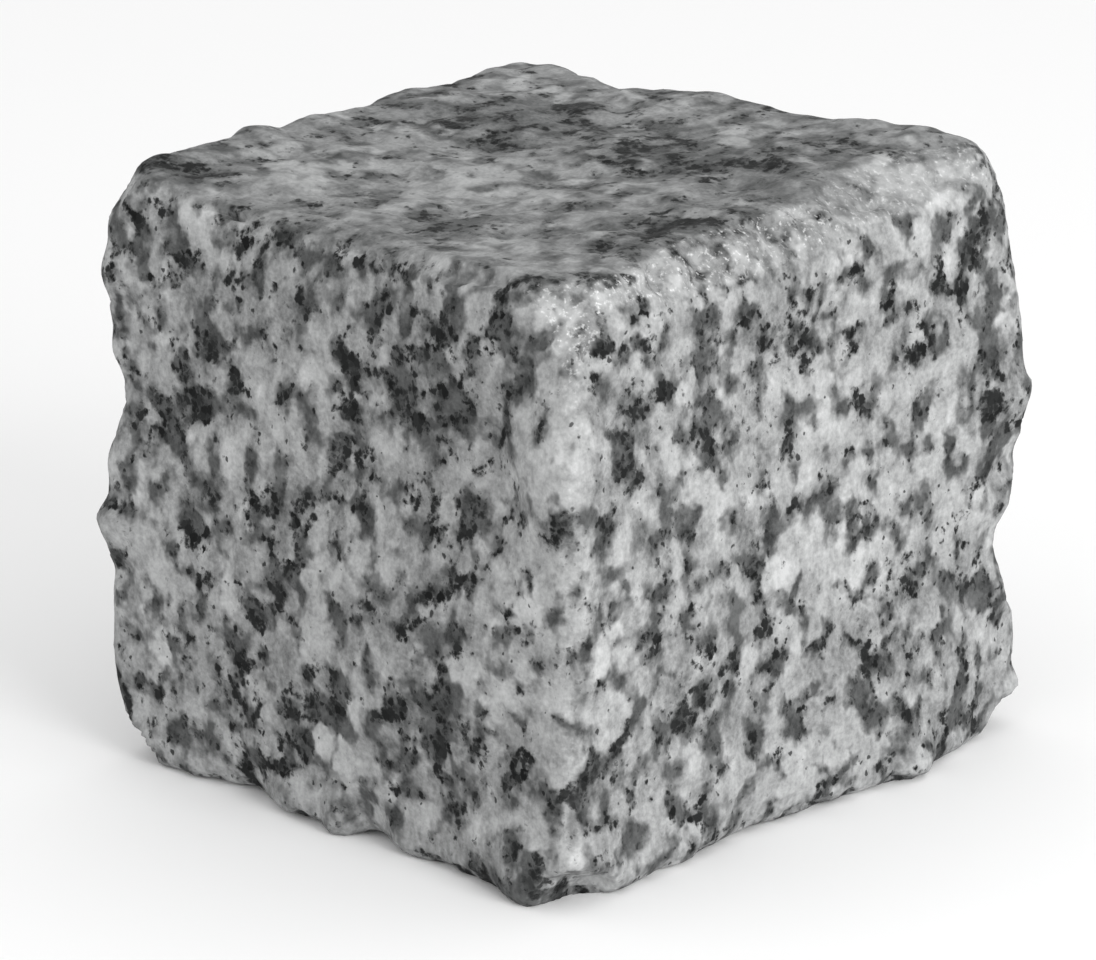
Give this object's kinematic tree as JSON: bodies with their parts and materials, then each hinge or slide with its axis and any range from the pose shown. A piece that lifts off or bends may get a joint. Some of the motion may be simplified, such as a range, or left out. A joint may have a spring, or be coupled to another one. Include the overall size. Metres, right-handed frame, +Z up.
{
  "type": "granite sett",
  "caption": "Rough-hewn cubic block of speckled grey granite with cleft faces, worn arrises and a flat bed, for laying as paving.",
  "frame": {"origin": "on the flat bed, under the middle of the block's nominal width and depth", "axes": "+Z up from the bed to the tread, X along the width and Y along the depth, with the front face towards -Y"},
  "size_m": [0.1057, 0.1061, 0.096],
  "materials": {
    "granite": "cleft, coarse-grained and matt"
  },
  "bodies": {
    "root": {"granite_sett": "granite"}
  },
  "joints": []
}
